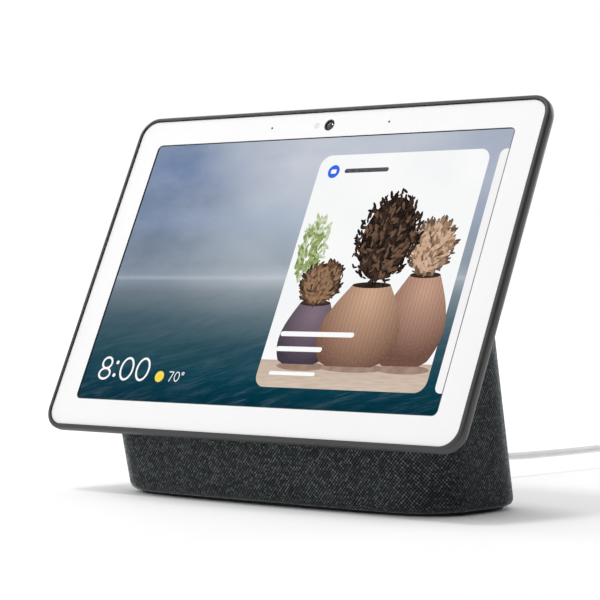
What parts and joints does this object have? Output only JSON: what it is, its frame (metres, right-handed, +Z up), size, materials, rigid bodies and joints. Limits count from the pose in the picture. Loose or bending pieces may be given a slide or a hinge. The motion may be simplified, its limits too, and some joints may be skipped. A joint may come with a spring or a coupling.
{
  "type": "smart display",
  "caption": "Wide touch screen in a thin rounded rim, leaning back on a fabric-covered oval speaker stand with a rear power cord.",
  "frame": {"origin": "on the table, under the middle of the stand's footprint", "axes": "+X to the right seen from the front, +Y to the back, +Z up"},
  "size_m": [0.2508, 0.3186, 0.1844],
  "materials": {
    "cover_glass": "polished",
    "white_border": "printed white ink behind the glass",
    "sensor_tint": "printed grey ink",
    "black_component": "moulded",
    "black_plastic": "moulded",
    "lens_glass": "coated",
    "metal_can": "tinned",
    "foam": "closed-cell foam",
    "screen": "lit picture of a calm sea",
    "backlight": "white light guide",
    "pressed_steel": "stamped",
    "cast_aluminium": "cast",
    "screw_steel": "zinc plated",
    "charcoal_plastic": "fine satin texture",
    "flex_film": "polyimide film",
    "charcoal_button": "satin",
    "circuit_board": "solder mask",
    "soft_rubber": "silicone",
    "orange_paint": "printed",
    "plate_aluminium": "milled",
    "charcoal_fabric": "knitted melange",
    "weight_steel": "phosphated",
    "foot_rubber": "silicone",
    "white_plastic": "moulded",
    "white_cord": "soft jacket",
    "magnet_metal": "zinc plated",
    "dome_silk": "coated silk",
    "cone_material": "woven fibre",
    "copper": "enamelled wire",
    "spider_fabric": "treated cloth"
  },
  "bodies": {
    "display": {"backlight_unit": "backlight", "base_plate": "weight_steel", "base_screws": "screw_steel", "bezel_mask": "white_border", "board_screws": "screw_steel", "camera_lens": "lens_glass", "camera_module": "black_component", "camera_trim_ring": "black_plastic", "display_flex": "flex_film", "display_gasket": "foam", "fabric_sleeve": "charcoal_fabric", "frame_screws": "screw_steel", "front_glass": "cover_glass", "front_microphones": "metal_can", "lcd_back_tray": "pressed_steel", "lcd_panel": "screen", "light_sensor": "black_component", "main_board": "circuit_board", "mid_frame": "cast_aluminium", "mount_plate": "plate_aluminium", "mount_screws": "screw_steel", "port_bezel": "charcoal_button", "power_board": "circuit_board", "power_jack": "black_component", "privacy_switch_board": "circuit_board", "processor": "black_component", "rear_microphone": "metal_can", "rear_shell": "charcoal_plastic", "rocker_pin": "screw_steel", "rubber_foot": "foot_rubber", "sensor_window": "sensor_tint", "shell_screws": "screw_steel", "shield_can": "metal_can", "slide_switch": "black_component", "stand_front_shell": "black_plastic", "stand_rear_shell": "black_plastic", "thermal_pad": "soft_rubber", "tweeter_frames": "black_plastic", "tweeter_magnets": "magnet_metal", "volume_switch_board": "circuit_board", "volume_switches": "black_component", "wifi_antennas": "flex_film", "woofer_basket": "pressed_steel", "woofer_magnet": "magnet_metal", "woofer_screws": "screw_steel", "woofer_spider": "spider_fabric", "woofer_surround": "soft_rubber"},
    "volume_rocker": {"volume_rocker": "charcoal_button"},
    "plunger_up": {"plunger_up": "soft_rubber"},
    "plunger_down": {"plunger_down": "soft_rubber"},
    "privacy_slider": {"privacy_slider": "charcoal_button", "privacy_indicator": "orange_paint", "slide_actuator": "black_plastic"},
    "woofer_cone": {"woofer_cone": "cone_material", "woofer_voice_coil": "copper"},
    "tweeter_left": {"tweeter_dome_left": "dome_silk"},
    "tweeter_right": {"tweeter_dome_right": "dome_silk"},
    "power_lead": {"power_plug": "white_plastic", "power_cord": "white_cord"}
  },
  "joints": [
    {"name": "volume_rock", "type": "hinge", "parent": "display", "child": "volume_rocker", "pos_m": [0.117, -0.00274, 0.13751], "axis": [1, 0, 0], "range_deg": [-2.5, 2.5], "stiffness_Nm_per_rad": 0.02},
    {"name": "plunger_up_travel", "type": "slide", "parent": "display", "child": "plunger_up", "axis": [0, -0.9085, 0.4179], "range_m": [-0.0005, 0.0005]},
    {"name": "plunger_down_travel", "type": "slide", "parent": "display", "child": "plunger_down", "axis": [0, -0.9085, 0.4179], "range_m": [-0.0005, 0.0005]},
    {"name": "privacy_slide", "type": "slide", "parent": "display", "child": "privacy_slider", "axis": [1, 0, 0], "range_m": [0, 0.003]},
    {"name": "woofer_stroke", "type": "slide", "parent": "display", "child": "woofer_cone", "axis": [0, 0.9748, 0.2232], "range_m": [-0.0025, 0.0025], "stiffness_N_per_m": 1500, "deforming": ["woofer_surround", "woofer_spider"]},
    {"name": "tweeter_left_stroke", "type": "slide", "parent": "display", "child": "tweeter_left", "axis": [0, -0.9748, -0.2232], "range_m": [-0.0003, 0.0003], "stiffness_N_per_m": 2000},
    {"name": "tweeter_right_stroke", "type": "slide", "parent": "display", "child": "tweeter_right", "axis": [0, -0.9748, -0.2232], "range_m": [-0.0003, 0.0003], "stiffness_N_per_m": 2000},
    {"name": "plug_pull", "type": "slide", "parent": "display", "child": "power_lead", "axis": [0, 1, 0], "range_m": [0, 0.012]}
  ],
  "couplings": [
    {"joint": "plunger_up_travel", "follows": "volume_rock", "m_per_rad": 0.011},
    {"joint": "plunger_down_travel", "follows": "volume_rock", "m_per_rad": -0.011}
  ]
}
